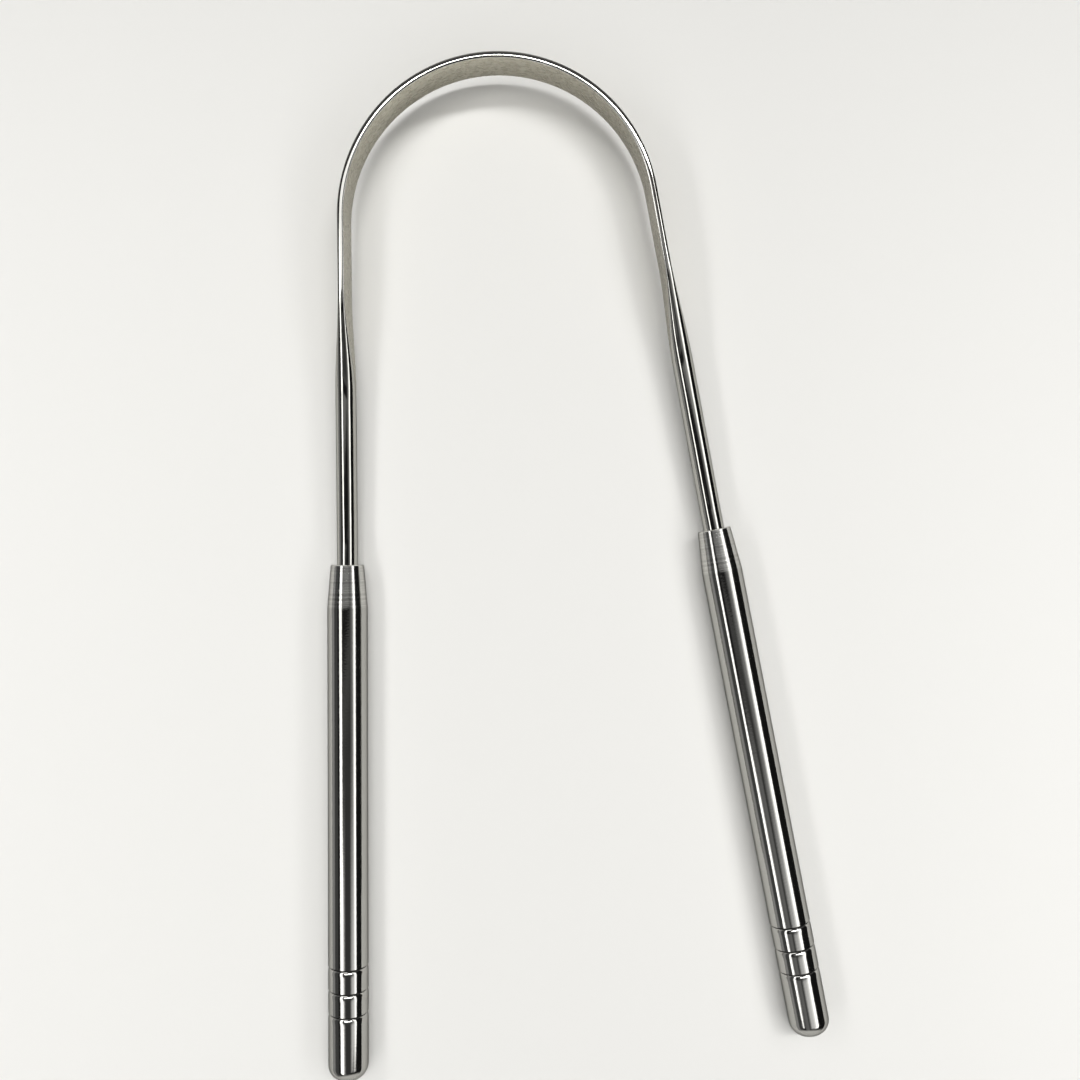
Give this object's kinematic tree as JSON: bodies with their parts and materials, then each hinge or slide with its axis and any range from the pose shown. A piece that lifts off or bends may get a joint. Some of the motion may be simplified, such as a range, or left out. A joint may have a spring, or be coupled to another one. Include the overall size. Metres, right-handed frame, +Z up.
{
  "type": "tongue scraper",
  "caption": "U-shaped steel tongue scraper: a wire bow rolled flat round its arc, held in turned round handles with grip grooves and domed tails.",
  "frame": {"origin": "on the surface that it lies on, at the middle of the whole length and width", "axes": "+Y along the centre line from the handles to the arc, +Z up from the surface that it lies on, +X to the right with the arc pointing away"},
  "size_m": [0.0752, 0.1488, 0.0094],
  "materials": {
    "bow_steel": "cold-rolled and polished stainless steel wire, satin on the faces of the band",
    "handle_steel": "turned and polished stainless steel bar"
  },
  "bodies": {
    "root": {"bow": "bow_steel", "left_handle": "handle_steel", "right_handle": "handle_steel"}
  },
  "joints": []
}
